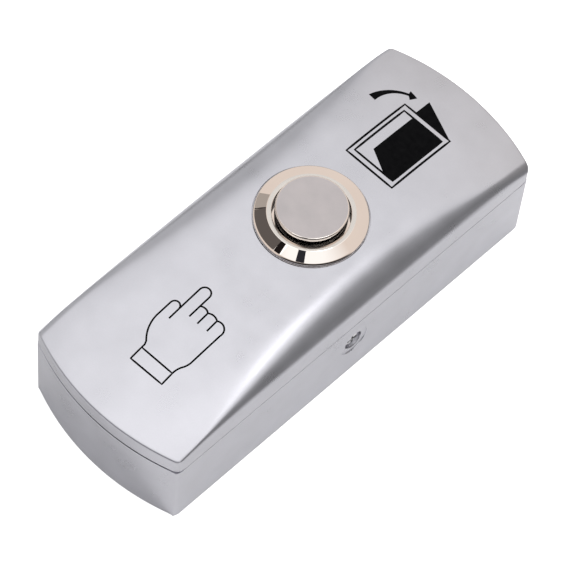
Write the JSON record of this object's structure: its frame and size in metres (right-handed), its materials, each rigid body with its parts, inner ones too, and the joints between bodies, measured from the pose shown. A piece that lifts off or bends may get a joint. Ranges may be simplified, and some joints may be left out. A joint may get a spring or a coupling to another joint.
{
  "type": "door exit button",
  "caption": "Surface-mounted push-to-exit button: arched metal cover on a slim box, with a round sprung metal push button that closes a contact.",
  "frame": {"origin": "centre of the flat back face that goes on the wall", "axes": "+Z out of the wall, +Y up along the length, +X across the width"},
  "size_m": [0.0316, 0.083, 0.025],
  "materials": {
    "satin_zinc": "satin",
    "bright_steel": "polished",
    "satin_steel": "satin",
    "plated_screw": "gloss",
    "nut_metal": "satin",
    "spring_steel": "gloss",
    "black_rubber": "matte",
    "black_plastic": "satin",
    "white_plastic": "satin",
    "brass": "gloss",
    "contact_metal": "gloss"
  },
  "bodies": {
    "housing": {"base_box": "satin_zinc", "cover_shell": "satin_zinc", "side_screw_right": "plated_screw", "side_screw_left": "plated_screw", "switch_barrel": "bright_steel", "flange_seal": "black_rubber", "lock_washer": "plated_screw", "hex_nut": "nut_metal", "guide_bush": "black_plastic", "return_spring": "spring_steel", "switch_base": "black_plastic", "terminal_common": "brass", "terminal_open": "brass", "fixed_contact_common": "contact_metal", "fixed_contact_open": "contact_metal", "clamp_plate_common": "plated_screw", "clamp_plate_open": "plated_screw", "terminal_screw_common": "plated_screw", "terminal_screw_open": "plated_screw"},
    "button": {"button_cap": "satin_steel", "plunger_stem": "white_plastic", "moving_contact": "contact_metal", "contact_spring": "spring_steel", "contact_clip": "spring_steel"}
  },
  "joints": [
    {"name": "button_press", "type": "slide", "parent": "housing", "child": "button", "axis": [0, 0, -1], "range_m": [0, 0.0015], "stiffness_N_per_m": 700, "springref_m": -0.0015, "deforming": ["return_spring"]}
  ]
}
